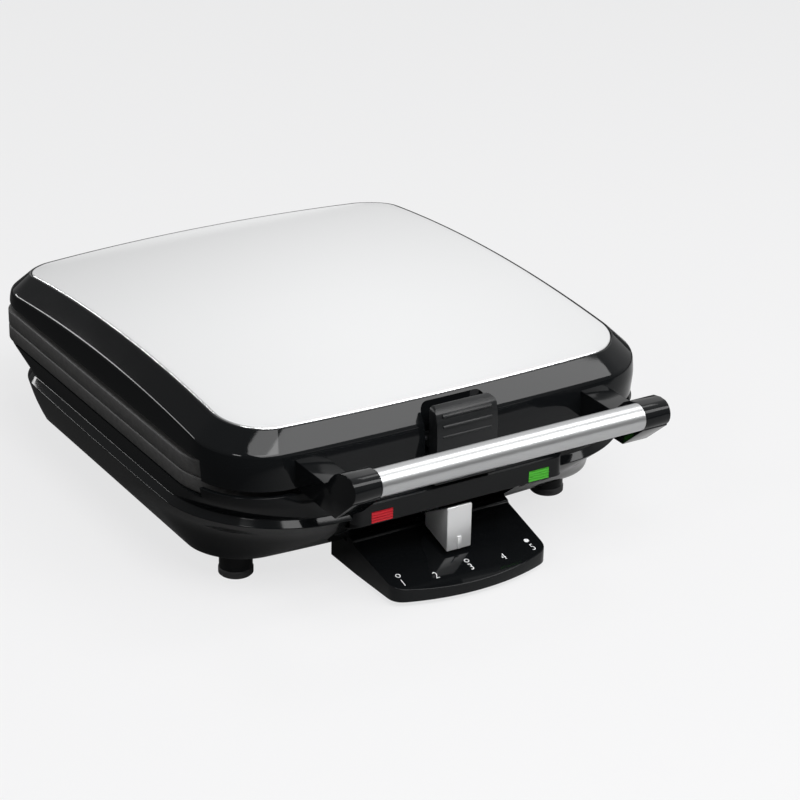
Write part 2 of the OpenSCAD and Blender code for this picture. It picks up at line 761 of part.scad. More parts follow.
module lid_housing() {
    color("#161718") difference() {
        union() {
            difference() {
                lid_solid();
                lid_void();
            }
            intersection() {
                lid_solid(-0.3);
                union() {
                    for (p = plate_posts) post(p, upper_flange_z + seat, cover_edge + 4, 4.6);
                    box(-pocket_half - 2.2, pocket_half + 2.2, front - 2.3, front + 7.3,
                        lid_skirt + 0.4, cover_edge - 0.4);
                }
            }
            for (s = [-1, 1]) lid_knuckle(s);
        }
        side_notch(parting - 8, lid_side);
        // Seat and opening for the steel cover
        loft([arched(grow(cover, 0.4), cover_edge - cover_rim - 0.15, cover_crown, tilt, 1),
            arched(grow(cover, 0.4), cover_edge + 12, cover_crown, tilt, 1)],
            low = cover_edge - cover_rim - 0.15 + cover_crown);
        loft([level(grow(cover, -7), cover_edge - 10), level(grow(cover, -7), cover_edge + 20)]);
        // Recess for the latch
        box(-pocket_half, pocket_half, front - 10.3, front + 5.1, parting + 3.3, cover_edge + 15);
        rod_x(-pocket_half - 2.2, pocket_half + 2.2, latch_pivot[0], latch_pivot[1], pin_r + thread_gap);
        for (p = plate_posts) post(p, upper_flange_z - 1, upper_flange_z + plate_screw + 0.3,
            screw_r + thread_gap);
        for (p = arm_screws) rod_y(p[0], front - 10, front + 10, p[1], screw_r + 0.1);
        for (s = [-1, 1]) {
            rod_x(s > 0 ? knuckle_in - 1 : -knuckle_out - 1, s > 0 ? knuckle_out + 1 : -knuckle_in + 1,
                hinge_y, hinge_z, pin_half + running);
            for (x = [knuckle_in - ear_t - 1, knuckle_out])
                rod_x(s > 0 ? x : -x - ear_t - 1, s > 0 ? x + ear_t + 1 : -x,
                    hinge_y, hinge_z, barrel_r + 0.8);
        }
    }
}

module lid_knuckle(s) {
    x0 = s > 0 ? knuckle_in : -knuckle_out;
    x1 = s > 0 ? knuckle_out : -knuckle_in;
    rod_x(x0, x1, hinge_y, hinge_z, barrel_r);
    along_x(x0, x1) polygon([[hinge_y - barrel_r, hinge_z], [hinge_y - 10, hinge_z + 2.5],
        [hinge_y - 10, hinge_z + 16], [hinge_y - 6, hinge_z + 16], [hinge_y + barrel_r, hinge_z + 2],
        [hinge_y + barrel_r, hinge_z]]);
}

cover_rim = 2.1;
module top_cover() {
    z = cover_edge;
    function skin(s, d) = arched(cover, z - d, cover_crown, tilt, 1, s);
    color("#dfe1e3") loft([
        skin(0.25, cover_t), skin(0.6, cover_t), skin(0.88, cover_t),
        arched(grow(cover, -1.6), z - cover_t, cover_crown, tilt, 1),
        arched(grow(cover, -1.1), z - cover_rim, cover_crown, tilt, 1),
        arched(cover, z - cover_rim, cover_crown, tilt, 1),
        arched(cover, z - 0.6, cover_crown, tilt, 1),
        arched(grow(cover, -0.6), z, cover_crown, tilt, 1),
        skin(0.88, 0), skin(0.6, 0), skin(0.25, 0)],
        low = z - cover_t + cover_crown + 1, high = z + cover_crown + 1);
}

arm_screws = [for (s = [-1, 1], z = [arm_low + 4, arm_low + 10.4]) [s * (arm_in + arm_t / 2), z]];

// Side view of a handle arm: a beam that widens into an ear round the bar
module arm_profile() {
    polygon([[front + 5.7, arm_low], [front + 5.7, arm_top], [-bar_y + 21.2, arm_top],
        [-bar_y + 18.5, arm_top + 1.7], [-bar_y + 16.1, arm_top + 4.8], [-bar_y + 12.5, arm_top + 8.3],
        [-bar_y + 7.5, arm_top + 11.1], [-bar_y + 2.2, arm_top + 12.2], [-bar_y - 1.3, arm_top + 12],
        [-bar_y - 4.6, bar_z - 5.9], [-bar_y + 11.2, arm_low]]);
}

// Handle arm: a beam out from the lid wall, ending in a round socket for the bar
module handle_arm(s) {
    x0 = s > 0 ? arm_in : -arm_out;
    x1 = s > 0 ? arm_out : -arm_in;
    color("#141516") difference() {
        union() {
            for (e = [0, 1]) along_x(s > 0 ? x0 : x0 + (e == 0 ? end_round : 0),
                    s > 0 ? x1 - (e == 0 ? end_round : 0) : x1)
                offset(delta = -e * end_round) arm_profile();
            rod_x(s > 0 ? x0 : x0 + end_round, s > 0 ? x1 - end_round : x1, -bar_y, bar_z, bar_r);
            rod_x(s > 0 ? x0 - 12 : x1 - eps, s > 0 ? x0 + eps : x1 + 12, -bar_y, bar_z, spigot_r);
        }
        lid_solid(eps);
        for (p = arm_screws) rod_y(p[0], front - 12, front + 10, p[1], screw_r + thread_gap);
    }
}

module left_handle_arm() {
    handle_arm(-1);
}

module right_handle_arm() {
    handle_arm(1);
}

module handle_screws() {
    color("#b9bcbf") for (p = arm_screws) {
        rod_y(p[0], front - 11.3, front + 5.3, p[1], screw_r);
        rod_y(p[0], front + 3.8, front + 5.8, p[1], 2.8);
    }
}

module handle_bar() {
    color("#cfd1d3") difference() {
        rod_x(-arm_in + seat, arm_in - seat, -bar_y, bar_z, bar_r);
        rod_x(-arm_in - 1, arm_in + 1, -bar_y, bar_z, spigot_r + thread_gap);
    }
}

// Latch: a rocker on a pin, ribbed on top, with a hook below that catches the keeper
module latch() {
    py = latch_pivot[0];
    pz = latch_pivot[1];
    color("#1c1d1e") difference() {
        union() {
            at_front(parting) along_x(-latch_half, latch_half) polygon([[-2.6, 29.5], [-3.8, 30],
                [-6.8, 29.3], [-8.9, 26.9], [-10.1, 22.3], [-10.7, 15.3], [-10.7, -4.7], [-9.9, -10.7],
                [-5.5, -10.7], [-3.5, -10.1], [-3.5, -8.5], [-6.9, -8.3], [-6.9, -2.9], [-3.9, 0.3],
                [-2.9, 3.3]]);
            for (s = [-1, 1]) along_x(s > 0 ? 8 : -latch_half, s > 0 ? latch_half : -8)
                polygon([[py - 3.5, pz - 4], [py, pz - 3.4], [py + 2.6, pz - 2.2], [py + 2.6, pz + 2.2],
                    [py, pz + 3.4], [py - 3.5, pz + 4]]);
            for (rib = [[25.9, 0.8], [20.5, 0], [15.1, 0]]) at_front(parting + rib[0])
                along_x(-latch_half + 3.4, latch_half - 3.4) polygon([[-8.3, 1.3],
                    [-10.5 + rib[1], 0.8], [-11.3 + rib[1], -0.4], [-9.7, -1.4]]);
        }
        rod_x(-latch_half - 1, latch_half + 1, py, pz, pin_r + running);
    }
}

module latch_pin() {
    color("#c4c7ca") rod_x(-pocket_half - 2.1, pocket_half + 2.1,
        latch_pivot[0], latch_pivot[1], pin_r);
}

// Torsion spring round the pin, between the two lugs of the latch
module latch_spring() {
    py = latch_pivot[0];
    pz = latch_pivot[1];
    wire = 0.4;
    coils = 6;
    color("#b9bcbf") for (i = [0:coils - 1])
        translate([-5 + i * 2 * 0.79, py, pz]) rotate([0, 90, 0]) rotate_extrude()
            translate([pin_r + 0.75, 0]) circle(wire, $fn = 16);
}

base_housing();
bottom_cover();
legs();
rubber_feet();
leg_screws();
lower_plate();
lower_plate_screws();
lower_element();
lower_reflector();
thermostat();
thermal_fuse();
terminal_block();
cord_gland();
fascia();
red_lens();
green_lens();
indicator_lamps();
control_console();
console_screws();
control_lever();
control_spindle();
control_knob();
hinge_pins();
lid_housing();
top_cover();
upper_plate();
upper_plate_screws();
upper_element();
upper_reflector();
left_handle_arm();
right_handle_arm();
handle_screws();
handle_bar();
latch();
latch_pin();
latch_spring();
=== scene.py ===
import json
import math
from collections import namedtuple

import bmesh
import bpy
from mathutils import Matrix, Vector

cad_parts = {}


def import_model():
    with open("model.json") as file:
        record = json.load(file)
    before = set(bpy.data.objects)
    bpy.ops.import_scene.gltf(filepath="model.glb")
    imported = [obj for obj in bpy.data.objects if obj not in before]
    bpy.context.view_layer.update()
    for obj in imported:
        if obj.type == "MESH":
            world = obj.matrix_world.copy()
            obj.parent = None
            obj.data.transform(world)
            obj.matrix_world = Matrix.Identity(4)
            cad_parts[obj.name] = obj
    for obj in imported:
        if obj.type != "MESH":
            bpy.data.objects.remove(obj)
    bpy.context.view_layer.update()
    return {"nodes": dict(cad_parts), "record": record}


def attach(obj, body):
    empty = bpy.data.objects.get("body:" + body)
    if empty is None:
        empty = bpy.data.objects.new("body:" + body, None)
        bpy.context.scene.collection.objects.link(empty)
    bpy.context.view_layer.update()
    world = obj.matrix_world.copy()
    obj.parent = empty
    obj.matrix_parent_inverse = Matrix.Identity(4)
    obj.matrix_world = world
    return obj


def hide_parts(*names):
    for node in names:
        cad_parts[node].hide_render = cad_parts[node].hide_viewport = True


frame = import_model()
NODES = frame["nodes"]
MM = 0.001  # the scene is in metres, and sizes here are in millimetres unless a comment says otherwise
NEAR_ZERO = 1e-6
LEFT_AND_RIGHT = (-1, 1)


# ---- Outlines seen from above, in millimetres ----
# Half the width, y of the front and of the rear, radius of the front and the rear corners,
# and how far the middle of the front, of the rear and of the sides bows outward.

Outline = namedtuple("Outline", "half front rear front_radius rear_radius front_bow rear_bow side_bow")

WIDE = Outline(131, -139.7, 110, 61, 34, 6, 4, 1.5)
BELLY = Outline(127.5, -131.5, 108, 70, 30, 1.5, 4, 0)
CHIN = Outline(122.6, -119, 108, 51, 26, 2, 4, 0)
FOOT = Outline(118, -106.4, 108, 26.5, 20, 6, 4, 0)
LEDGE = Outline(128.5, -136.6, 108, 58, 32, 6, 3, 0)
ABOVE = Outline(128.5, -136.6, 137, 44, 34, 6, 3, 0)
RIM = Outline(127.9, -135, 137, 34, 34, 6, 3, 0)
SKIRT = Outline(126.8, -135, 138.9, 34, 34, 6, 3, 0)
CREASE = Outline(127.9, -134.8, 138.2, 34, 34, 6, 3, -2.3)
COVER = Outline(114.8, -124.8, 123.8, 24, 17, 7, 8.3, 0)

# Points on each corner and along each edge.
CORNER_STEPS = 20
EDGE_STEPS = 22


# ---- Heights and shared places, in millimetres ----

BASE_BOTTOM = 17.8
CHIN_Z = 25.3
BELLY_Z = 35.3
BASE_EDGE = 47.8
LOWER_FLANGE = 59.45
BASE_RIM = 65.3
LID_SKIRT = 68.3
LID_SIDE = 80.0
LID_CREASE = 85.7
COVER_EDGE = 95.7

# Rises of the middle over the front and rear edges, at the cover and at the crease; the rise
# over the side edges; and how much the front stands higher and the rear lower than the middle.
# CROWN keeps the cover's top just inside the box of the solids.
CROWN = 7.82
CREASE_CROWN = 6.2
SIDE_CROWN = 1
TILT = 1.4

WALL = 2.5

BAR_Y = -187.7
BAR_Z = 89.2
BAR_RADIUS = 6.95

HINGE_Y = 146.5
HINGE_Z = 66.8
LUG_RADIUS = 5.6
LUG_EDGE = 0.4
WEB_INSET = 0.1


def grow(o, d):
    """The outline moved outward by d on every side."""
    return o._replace(
        half=o.half + d,
        front=o.front - d,
        rear=o.rear + d,
        front_radius=max(o.front_radius + d, 1),
        rear_radius=max(o.rear_radius + d, 1),
    )


def on_corner(o, quarter, angle):
    """The point at an angle on a corner; quarters count anticlockwise from the rear right."""
    side = 1 if quarter in (0, 3) else -1
    radius = o.rear_radius if quarter < 2 else o.front_radius
    y = o.rear - o.rear_radius if quarter < 2 else o.front + o.front_radius
    a = math.radians(angle)
    return side * (o.half - radius) + radius * math.cos(a), y + radius * math.sin(a)


def straight_plan(o):
    """The outline's points before its edges are bowed."""
    points = []
    for quarter in range(4):
        start = 90 * quarter
        points += [on_corner(o, quarter, start + 90 * i / CORNER_STEPS) for i in range(CORNER_STEPS + 1)]
        x0, y0 = points[-1]
        x1, y1 = on_corner(o, (quarter + 1) % 4, start + 90)
        for i in range(1, EDGE_STEPS):
            t = i / EDGE_STEPS
            points.append((x0 + (x1 - x0) * t, y0 + (y1 - y0) * t))
    return points


def clip(v):
    return max(0.0, min(1.0, v))


def depth_of(o):
    """The y of the outline's middle, and half its depth."""
    return (o.front + o.rear) / 2, (o.rear - o.front) / 2


def plan(o):
    """The outline's points, with its edges bowed."""
    mid, half_depth = depth_of(o)
    out = []
    for x, y in straight_plan(o):
        u, v = x / o.half, (y - mid) / half_depth
        bowed_x = x + o.side_bow * (1 - v * v) * u
        bowed_y = y - o.front_bow * (1 - u * u) * clip(-v) + o.rear_bow * (1 - u * u) * clip(v)
        out.append((bowed_x, bowed_y))
    return out


def level(o, z):
    """The outline as a flat ring."""
    return [(x, y, z) for x, y in plan(o)]


def arched(o, z, rise, lean, across=0.0, scale=1.0):
    """The outline as a ring that is raised in the middle and tilted, and made smaller by scale."""
    mid, half_depth = depth_of(o)
    out = []
    for x, y in plan(o):
        x, y = x * scale, mid + (y - mid) * scale
        v = (y - mid) / half_depth
        raised = z + rise * (1 - clip(v * v)) - lean * v + across * (1 - (x / o.half) ** 2)
        out.append((x, y, raised))
    return out


def domed(o, z, scale=1.0):
    """A ring that follows the cover's dome."""
    return arched(o, z, CROWN, TILT, SIDE_CROWN, scale)


def curve_point(start, bend, end, t):
    """A point on the curve from start to end that leans toward bend."""
    return tuple(start * (1 - t) ** 2 + bend * 2 * t * (1 - t) + end * t * t)


def eased(before, corner, after, radius, t):
    """A point on the rounding of one corner, which takes up less than half of either side."""
    corner = Vector(corner)
    ends = []
    for neighbour in (before, after):
        side = Vector(neighbour) - corner
        reach = min(radius, side.length * 0.45)
        ends.append(corner + side.normalized() * reach if side.length > NEAR_ZERO else corner)
    return curve_point(ends[0], corner, ends[1], t)


def filleted(keys, steps=5):
    """Rings through key rings, each key rounded off by its radius; the stack closes on itself."""
    rings = []
    for i, (ring, radius) in enumerate(keys):
        if radius <= 0:
            rings.append(ring)
            continue
        before = keys[i - 1][0]
        after = keys[(i + 1) % len(keys)][0]
        for k in range(steps + 1):
            rings.append([eased(*points, radius, k / steps) for points in zip(before, ring, after)])
    return rings


def along(line, i, step, distance):
    """The point that lies a distance from point i along a line of points."""
    while distance > 0 and 0 < i + step < len(line) - 1 and (line[i + step] - line[i]).length < distance:
        distance -= (line[i + step] - line[i]).length
        i += step
    return line[i] + (line[i + step] - line[i]).normalized() * distance


def softened(points, corners, radius, steps=7):
    """Rounds some corners of an open line of points, given by their indices."""
    line = [Vector(p) for p in points]
    out = []
    for i, point in enumerate(points):
        if i in corners:
            start, end = (along(line, i, step, radius) for step in (-1, 1))
            out += [curve_point(start, line[i], end, k / steps) for k in range(steps + 1)]
        elif i in (0, len(points) - 1) or min((line[i] - line[k]).length for k in corners) > radius:
            out.append(point)
    return out


def quarter_arc(quarter, centre_x, centre_y, radius, steps=8):
    """Points of a quarter circle; quarters count anticlockwise from the upper right."""
    angles = [math.radians(90 * quarter + 90 * i / steps) for i in range(steps + 1)]
    return [(centre_x + radius * math.cos(a), centre_y + radius * math.sin(a)) for a in angles]


def round_top(half, low, top, radius):
    """An upright outline with its two upper corners rounded."""
    points = [(-half, low), (half, low)]
    points += quarter_arc(0, half - radius, top - radius, radius)
    points += quarter_arc(1, radius - half, top - radius, radius)
    return points


def round_front(half, front, rear, radius):
    """An outline seen from above with its two front corners rounded."""
    points = [(half, rear), (-half, rear)]
    points += quarter_arc(2, radius - half, front + radius, radius)
    points += quarter_arc(3, half - radius, front + radius, radius)
    return points


def span(side, near, far):
    """The x values of a range on the left or the right, lowest first."""
    return sorted((side * near, side * far))


# ---- Mesh helpers ----

SHARP = 35.0


def in_scene(name, data):
    """A new object with this data, linked to the scene."""
    o = bpy.data.objects.new(name, data)
    bpy.context.scene.collection.objects.link(o)
    return o


def shade(mesh, sharp=SHARP):
    """Smooth shading, with hard edges where the surface turns by more than the sharp angle, in degrees."""
    mesh.shade_smooth()
    mesh.set_sharp_from_angle(angle=math.radians(sharp))


def new_object(name, bm, sharp=SHARP):
    bmesh.ops.recalc_face_normals(bm, faces=bm.faces[:])
    mesh = bpy.data.meshes.new(name)
    bm.to_mesh(mesh)
    bm.free()
    shade(mesh, sharp)
    return in_scene(name, mesh)


def join_rows(bm, a, b):
    """Faces between two closed rows of vertices. A row of one vertex is a tip."""
    n = max(len(a), len(b))
    for i in range(n):
        j = (i + 1) % n
        if len(a) == 1:
            bm.faces.new((a[0], b[i], b[j]))
        elif len(b) == 1:
            bm.faces.new((a[i], a[j], b[0]))
        else:
            bm.faces.new((a[i], a[j], b[j], b[i]))


def ring_mesh(name, rings, tips=()):
    """A skin over rings of points. It closes on itself, or at both ends in a tip of a given height."""
    bm = bmesh.new()
    rows = [[bm.verts.new(Vector(p) * MM) for p in ring] for ring in rings]
    for a, b in zip(rows, rows[1:]):
        join_rows(bm, a, b)
    if not tips:
        join_rows(bm, rows[-1], rows[0])
    for row, z in zip((rows[0], rows[-1]), tips):
        ys = [v.co.y for v in row]
        tip = bm.verts.new((0, (min(ys) + max(ys)) / 2, z * MM))
        join_rows(bm, row, [tip])
    return new_object(name, bm)


def prism(name, low, high, sharp=SHARP):
    """A solid between two rings of points."""
    bm = bmesh.new()
    a, b = ([bm.verts.new([v * MM for v in p]) for p in ring] for ring in (low, high))
    bm.faces.new(a)
    bm.faces.new(list(reversed(b)))
    join_rows(bm, a, b)
    return new_object(name, bm, sharp)


def prism_x(name, profile, x0, x1, sharp=SHARP):
    """A profile of (y, z) points, extruded along X."""
    return prism(name, *([(x, y, z) for y, z in profile] for x in (x0, x1)), sharp)


def prism_y(name, outline, y0, y1):
    """An outline of (x, z) points, extruded along Y."""
    return prism(name, *([(x, y, z) for x, z in outline] for y in (y0, y1)))


def prism_z(name, outline, z0, z1):
    """An outline of (x, y) points, extruded along Z."""
    return prism(name, *([(x, y, z) for x, y in outline] for z in (z0, z1)))


def block(name, x0, x1, y0, y1, z0, z1):
    return prism_x(name, [(y0, z0), (y1, z0), (y1, z1), (y0, z1)], x0, x1)


def lathe(name, profile, origin, axis, segments):
    """Turns (radius, height) points about an axis."""
    turn = Vector(axis).to_track_quat("Z", "Y").to_matrix()
    bm = bmesh.new()

    def vertex(x, y, height):
        return bm.verts.new((Vector(origin) + turn @ Vector((x, y, height))) * MM)

    rows = []
    for radius, height in profile:
        angles = [2 * math.pi * k / segments for k in range(segments)]
        if radius < NEAR_ZERO:
            rows.append([vertex(0, 0, height)])
        else:
            rows.append([vertex(radius * math.cos(a), radius * math.sin(a), height) for a in angles])
    for a, b in zip(rows, rows[1:]):
        join_rows(bm, a, b)
    if len(rows[0]) > 1:
        join_rows(bm, rows[-1], rows[0])
    return new_object(name, bm)


def tube(name, start, end, radius, bore=0.0, segments=48, edge=0.0):
    """A cylinder or sleeve between two points, with its outer edges rounded off by edge."""
    start, end = Vector(start), Vector(end)
    length = (end - start).length
    profile = [(bore, 0)]
    if edge > 0:
        inset = 0.3 * edge
        profile += [(radius - edge, 0), (radius - inset, inset), (radius, edge),
                    (radius, length - edge), (radius - inset, length - inset), (radius - edge, length)]
    else:
        profile += [(radius, 0), (radius, length)]
    profile.append((bore, length))
    return lathe(name, profile, start, end - start, segments)


def evaluated_mesh(o):
    graph = bpy.context.evaluated_depsgraph_get()
    return bpy.data.meshes.new_from_object(o.evaluated_get(graph))


def apply_modifiers(o):
    """Turns the modifiers into mesh and marks the sharp edges again."""
    mesh = evaluated_mesh(o)
    o.modifiers.clear()
    o.data = mesh
    shade(mesh)


def combine(o, others, operation):
    """Cuts, unites or intersects a piece with others, which are used up."""
    for other in others:
        m = o.modifiers.new("cut", "BOOLEAN")
        m.operation = operation
        m.solver = "EXACT"
        m.object = other
        apply_modifiers(o)
        bpy.data.objects.remove(other)


def bevelled(o, width, segments=3, angle=30.0, clamp=True):
    """The piece with its edges rounded where it turns by more than the angle."""
    m = o.modifiers.new("bevel", "BEVEL")
    m.width = width * MM
    m.segments = segments
    m.limit_method = "ANGLE"
    m.angle_limit = math.radians(angle)
    m.use_clamp_overlap = clamp
    apply_modifiers(o)
    return o


def take_in(o, others):
    """Moves the meshes of other pieces into one piece."""
    bm = bmesh.new()
    bm.from_mesh(o.data)
    for other in others:
        bm.from_mesh(other.data)
        bpy.data.objects.remove(other)
    bm.to_mesh(o.data)
    bm.free()


# ---- Shader helpers; m is a material or a world ----

MATERIALS = {}
UNSTRETCHED = (1, 1, 1)


def set_inputs(node, values):
    for key, value in values.items():
        node.inputs[key.replace("_", " ")].default_value = value


def add(m, kind, operation=None, **values):
    """A new node with its operation and some inputs set."""
    node = m.node_tree.nodes.new(kind)
    if operation:
        node.operation = operation
    set_inputs(node, values)
    return node


def link(m, a, out, b, into):
    m.node_tree.links.new(a.outputs[out], b.inputs[into])


def shader_of(m):
    return m.node_tree.nodes["Principled BSDF"]


def material(name, colour, rough, metallic=0.0, **inputs):
    m = bpy.data.materials.new(name)
    m.use_nodes = True
    inputs.update(Base_Color=(*colour, 1), Roughness=rough, Metallic=metallic)
    set_inputs(shader_of(m), inputs)
    MATERIALS[name] = m
    return m


def noise(m, scale, detail, stretch=UNSTRETCHED, rough=0.55):
    where = add(m, "ShaderNodeTexCoord")
    place = add(m, "ShaderNodeMapping", Scale=stretch)
    link(m, where, "Object", place, "Vector")
    n = add(m, "ShaderNodeTexNoise", Scale=scale, Detail=detail, Roughness=rough)
    link(m, place, "Vector", n, "Vector")
    return n


def spread(m, source, out, given, wanted):
    """Maps the given range of an output onto the wanted one."""
    r = add(m, "ShaderNodeMapRange", From_Min=given[0], From_Max=given[1],
            To_Min=wanted[0], To_Max=wanted[1])
    link(m, source, out, r, "Value")
    return r


def ramp(m, stops):
    """A colour ramp of (position, colour) stops."""
    node = add(m, "ShaderNodeValToRGB")
    elements = node.color_ramp.elements
    while len(elements) < len(stops):
        elements.new(0.5)
    for element, (position, colour) in zip(elements, stops):
        element.position = position
        element.color = (*colour, 1)
    return node


def grey_ramp(m, stops):
    return ramp(m, [(position, (grey, grey, grey)) for position, grey in stops])


def vary_rough(m, scale, low, high, stretch=UNSTRETCHED, detail=4):
    """Roughness that wanders between low and high."""
    r = spread(m, noise(m, scale, detail, stretch), "Fac", (0.3, 0.7), (low, high))
    link(m, r, "Result", shader_of(m), "Roughness")


def vary_colour(m, scale, dark, light, detail=4):
    """Colour that wanders between dark and light."""
    n = noise(m, scale, detail)
    colours = ramp(m, [(0.35, dark), (0.65, light)])
    link(m, n, "Fac", colours, "Fac")
    link(m, colours, "Color", shader_of(m), "Base Color")


def grain(m, scale, strength, distance, detail=2, stretch=UNSTRETCHED, rough=0.55):
    """A fine relief. Its distance is in metres."""
    n = noise(m, scale, detail, stretch, rough)
    b = add(m, "ShaderNodeBump", Strength=strength, Distance=distance)
    link(m, n, "Fac", b, "Height")
    link(m, b, "Normal", shader_of(m), "Normal")


def compute(m, operation, *values):
    """A maths node. Each value is a number or a (node, output)."""
    node = add(m, "ShaderNodeMath", operation)
    for index, value in enumerate(values):
        if isinstance(value, tuple):
            link(m, *value, node, index)
        else:
            node.inputs[index].default_value = value
    return node


def mixed(m, source, out, first, second):
    """A mix of two shaders, by an output of the source node."""
    node = add(m, "ShaderNodeMixShader")
    link(m, source, out, node, "Fac")
    link(m, first, 0, node, 1)
    link(m, second, 0, node, 2)
    return node


# ---- Materials ----

def gloss_black():
    m = material("gloss_black", (0.004, 0.0045, 0.005), 0.08, IOR=1.28)
    vary_rough(m, 38, 0.06, 0.10)
    grain(m, 900, 0.03, 0.0002)


def satin_black():
    m = material("satin_black", (0.007, 0.0075, 0.008), 0.3, IOR=1.33)
    vary_rough(m, 60, 0.27, 0.34)
    grain(m, 2600, 0.1, 0.0002)


def brushed_steel(name, colour, low, high, strength):
    """Steel with fine lines along X."""
    m = material(name, colour, 0.3, 1.0)
    vary_rough(m, 30, low, high, (1, 60, 60), 6)
    grain(m, 40, strength, 0.0001, 5, (1, 80, 80))


def cover_steel():
    brushed_steel("cover_steel", (0.86, 0.865, 0.87), 0.22, 0.26, 0.03)


def bar_steel():
    brushed_steel("bar_steel", (0.48, 0.485, 0.49), 0.29, 0.34, 0.06)


def cast_plate():
    m = material("cast_plate", (0.036, 0.034, 0.032), 0.5)
    vary_colour(m, 400, (0.042, 0.042, 0.042), (0.060, 0.059, 0.058), 6)
    grain(m, 2200, 0.3, 0.0003, 4, rough=0.6)


def knob_silver():
    m = material("knob_silver", (0.8, 0.805, 0.81), 0.32, 0.6)
    vary_rough(m, 80, 0.27, 0.34)
    grain(m, 3500, 0.15, 0.0001)


def screw_steel():
    m = material("screw_steel", (0.62, 0.63, 0.65), 0.28, 1.0)
    vary_rough(m, 400, 0.22, 0.36)


def dark_steel():
    m = material("dark_steel", (0.06, 0.06, 0.065), 0.4, 1.0)
    vary_rough(m, 300, 0.35, 0.5)


def reflector_sheet():
    m = material("reflector_sheet", (0.75, 0.76, 0.77), 0.35, 1.0)
    vary_rough(m, 50, 0.28, 0.45, (1, 12, 1))


def element_sheath():
    m = material("element_sheath", (0.28, 0.27, 0.25), 0.45, 1.0)
    vary_colour(m, 60, (0.16, 0.13, 0.11), (0.34, 0.33, 0.31))


def ceramic():
    m = material("ceramic", (0.78, 0.73, 0.64), 0.6)
    vary_colour(m, 120, (0.72, 0.66, 0.56), (0.80, 0.76, 0.68))
    grain(m, 1500, 0.3, 0.0002, 3)


def fuse_metal():
    m = material("fuse_metal", (0.7, 0.7, 0.7), 0.35, 1.0)
    vary_rough(m, 300, 0.3, 0.42)


def foot_rubber():
    m = material("foot_rubber", (0.025, 0.025, 0.026), 0.75)
    vary_rough(m, 200, 0.65, 0.85)
    grain(m, 2500, 0.4, 0.0003, 3)


def clear(name, colour, rough, low, high, transmission):
    """A smooth material that lets some light through."""
    m = material(name, colour, rough, Transmission_Weight=transmission)
    vary_rough(m, 90, low, high)


def red_lens():
    clear("red_lens", (0.66, 0.012, 0.025), 0.12, 0.10, 0.16, 0.2)


def green_lens():
    clear("green_lens", (0.09, 0.56, 0.04), 0.12, 0.10, 0.16, 0.2)


def lamp_glass():
    clear("lamp_glass", (0.9, 0.88, 0.84), 0.05, 0.04, 0.08, 0.8)


def scale_print():
    m = material("scale_print", (0.86, 0.87, 0.88), 0.5)
    vary_rough(m, 300, 0.45, 0.55)


def cover_with(o, name):
    """Gives an object one material."""
    o.data.materials.clear()
    o.data.materials.append(MATERIALS[name])


def dress_solids():
    """Gives every CAD node the material of its slot."""
    for row in frame["record"]["subparts"]:
        node = NODES[row["node"]]
        cover_with(node, row["material_slot"])


def piece(o, name, body, slot, node):
    """Makes an object the piece that is shown in place of a CAD node."""
    o.name = name
    o.data.name = name
    cover_with(o, slot)
    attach(o, body)
    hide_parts(node)


# ---- Shared by lid and base ----

NOTCH_X = (112, 150)
NOTCH_Y = (-109, 129.5)


def side_notches(z0, z1):
    """Cuts that open the gap between the halves at the left and the right."""
    return [block("notch", *span(side, *NOTCH_X), *NOTCH_Y, z0, z1) for side in LEFT_AND_RIGHT]


def hinge_lug(x0, x1, bore, web):
    """A sleeve on the hinge axis and the web that carries it, whose points are measured from the axis."""
    sleeve = tube("sleeve", (x0, HINGE_Y, HINGE_Z), (x1, HINGE_Y, HINGE_Z), LUG_RADIUS, bore, edge=LUG_EDGE)
    profile = [(HINGE_Y + y, HINGE_Z + z) for y, z in web]
    return [sleeve, prism_x("web", profile, x0 + WEB_INSET, x1 - WEB_INSET)]


# ---- Lid ----

COVER_GAP = 0.4
COVER_SKIN = 1
COVER_LIP = 2.1
COVER_ROUND = 0.9
SHELF_TOP = COVER_EDGE - 2.25
SHELF_UNDER = COVER_EDGE - 4.6
SHELF_WIDTH = 7

LATCH_PAD_HALF = 21.2
POCKET_HALF = 19
POCKET_Y = (-150, -133.5)
POCKET_Z = (71.3, 96.4)
POCKET_CORNER = 5
LID_LUG = (53, 73)
LID_LUG_BORE = 2.55


def lid_rings():
    """The lid casing in section: up the outside, round the cover's seat, and down the inside."""
    return filleted([
        (level(SKIRT, LID_SKIRT), 0.7),
        (level(grow(SKIRT, 1), LID_SIDE), 3),
        (arched(grow(CREASE, -0.2), LID_CREASE - 0.3, CREASE_CROWN, TILT), 1.5),
        (domed(grow(COVER, 1.1), COVER_EDGE - 0.4), 0.4),
        (domed(grow(COVER, COVER_GAP), COVER_EDGE - 0.5), 0.2),
        (domed(grow(COVER, COVER_GAP), SHELF_TOP), 0),
        (domed(grow(COVER, -SHELF_WIDTH), SHELF_TOP), 0),
        (domed(grow(COVER, -SHELF_WIDTH), SHELF_UNDER), 0),
        (domed(grow(COVER, -1.6), SHELF_UNDER), 0),
        (arched(grow(CREASE, -WALL), LID_CREASE - 2, CREASE_CROWN, TILT), 0),
        (level(grow(SKIRT, -WALL + 1), LID_SIDE), 0),
        (level(grow(SKIRT, -WALL), LID_SKIRT), 0.5),
    ])


def latch_pad():
    """The raised place at the lid's front that holds the latch."""
    profile = [(-139, 70), (-139, 86), (-134.5, 93), (-131.6, 95), (-131.6, 68.7), (-137, 68.7)]
    return prism_x("pad", profile, -LATCH_PAD_HALF, LATCH_PAD_HALF)


def latch_pocket():
    """The cut in the pad that the latch rocks in."""
    return prism_y("pocket", round_top(POCKET_HALF, *POCKET_Z, POCKET_CORNER), *POCKET_Y)


